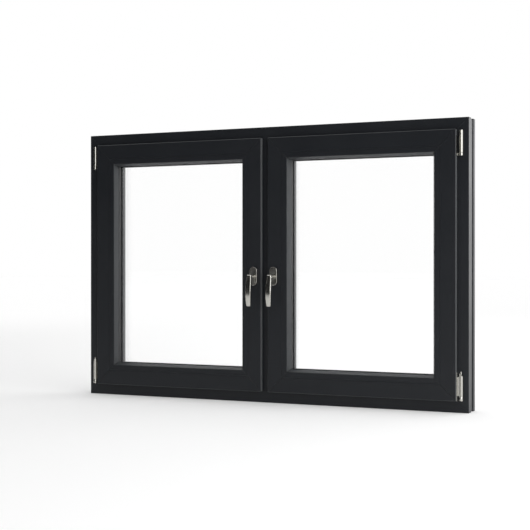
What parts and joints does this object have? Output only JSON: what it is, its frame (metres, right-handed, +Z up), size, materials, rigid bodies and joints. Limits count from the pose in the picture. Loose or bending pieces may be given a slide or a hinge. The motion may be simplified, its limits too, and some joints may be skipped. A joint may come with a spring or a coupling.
{
  "type": "pvc window",
  "caption": "Dark grey PVC window: side-by-side glazed sashes in a frame with a fixed mullion, lever handles that turn at the meeting stiles, and satin corner hinges.",
  "frame": {"origin": "middle of the room-side bearing land under the sill, halfway along the window", "axes": "+X to the right for someone in the room, +Y out of the room, +Z up"},
  "size_m": [1.5, 0.1572, 1],
  "materials": {
    "profile": "satin dark grey film on extruded PVC, very fine grain",
    "glass": "clear float glass",
    "spacer": "matt spacer bar with small perforations",
    "gasket": "matt black extruded rubber",
    "hardware": "satin nickel"
  },
  "bodies": {
    "window": {"frame_head": "profile", "frame_sill": "profile", "frame_left_jamb": "profile", "frame_right_jamb": "profile", "mullion": "profile", "left_sash_top_rail": "profile", "left_sash_bottom_rail": "profile", "left_sash_hinge_stile": "profile", "left_sash_lock_stile": "profile", "right_sash_top_rail": "profile", "right_sash_bottom_rail": "profile", "right_sash_hinge_stile": "profile", "right_sash_lock_stile": "profile", "left_bead_top": "profile", "left_bead_bottom": "profile", "left_bead_hinge_side": "profile", "left_bead_lock_side": "profile", "right_bead_top": "profile", "right_bead_bottom": "profile", "right_bead_hinge_side": "profile", "right_bead_lock_side": "profile", "left_inner_pane": "glass", "left_outer_pane": "glass", "right_inner_pane": "glass", "right_outer_pane": "glass", "left_glass_spacer": "spacer", "right_glass_spacer": "spacer", "left_inner_glazing_gasket": "gasket", "left_outer_glazing_gasket": "gasket", "left_room_side_seal": "gasket", "left_outside_seal": "gasket", "right_inner_glazing_gasket": "gasket", "right_outer_glazing_gasket": "gasket", "right_room_side_seal": "gasket", "right_outside_seal": "gasket", "left_handle_rosette": "hardware", "right_handle_rosette": "hardware", "left_top_hinge_bearing": "hardware", "left_top_hinge_arm": "hardware", "left_bottom_hinge_bearing": "hardware", "left_bottom_hinge_band": "hardware", "right_top_hinge_bearing": "hardware", "right_top_hinge_arm": "hardware", "right_bottom_hinge_bearing": "hardware", "right_bottom_hinge_band": "hardware"},
    "left_handle": {"left_handle_lever": "hardware"},
    "right_handle": {"right_handle_lever": "hardware"}
  },
  "joints": [
    {"name": "left_handle_turn", "type": "hinge", "parent": "window", "child": "left_handle", "pos_m": [-0.0395, -0.0325, 0.459], "axis": [0, 1, 0], "range_deg": [0, 180]},
    {"name": "right_handle_turn", "type": "hinge", "parent": "window", "child": "right_handle", "pos_m": [0.0395, -0.0325, 0.459], "axis": [0, -1, 0], "range_deg": [0, 180]}
  ]
}
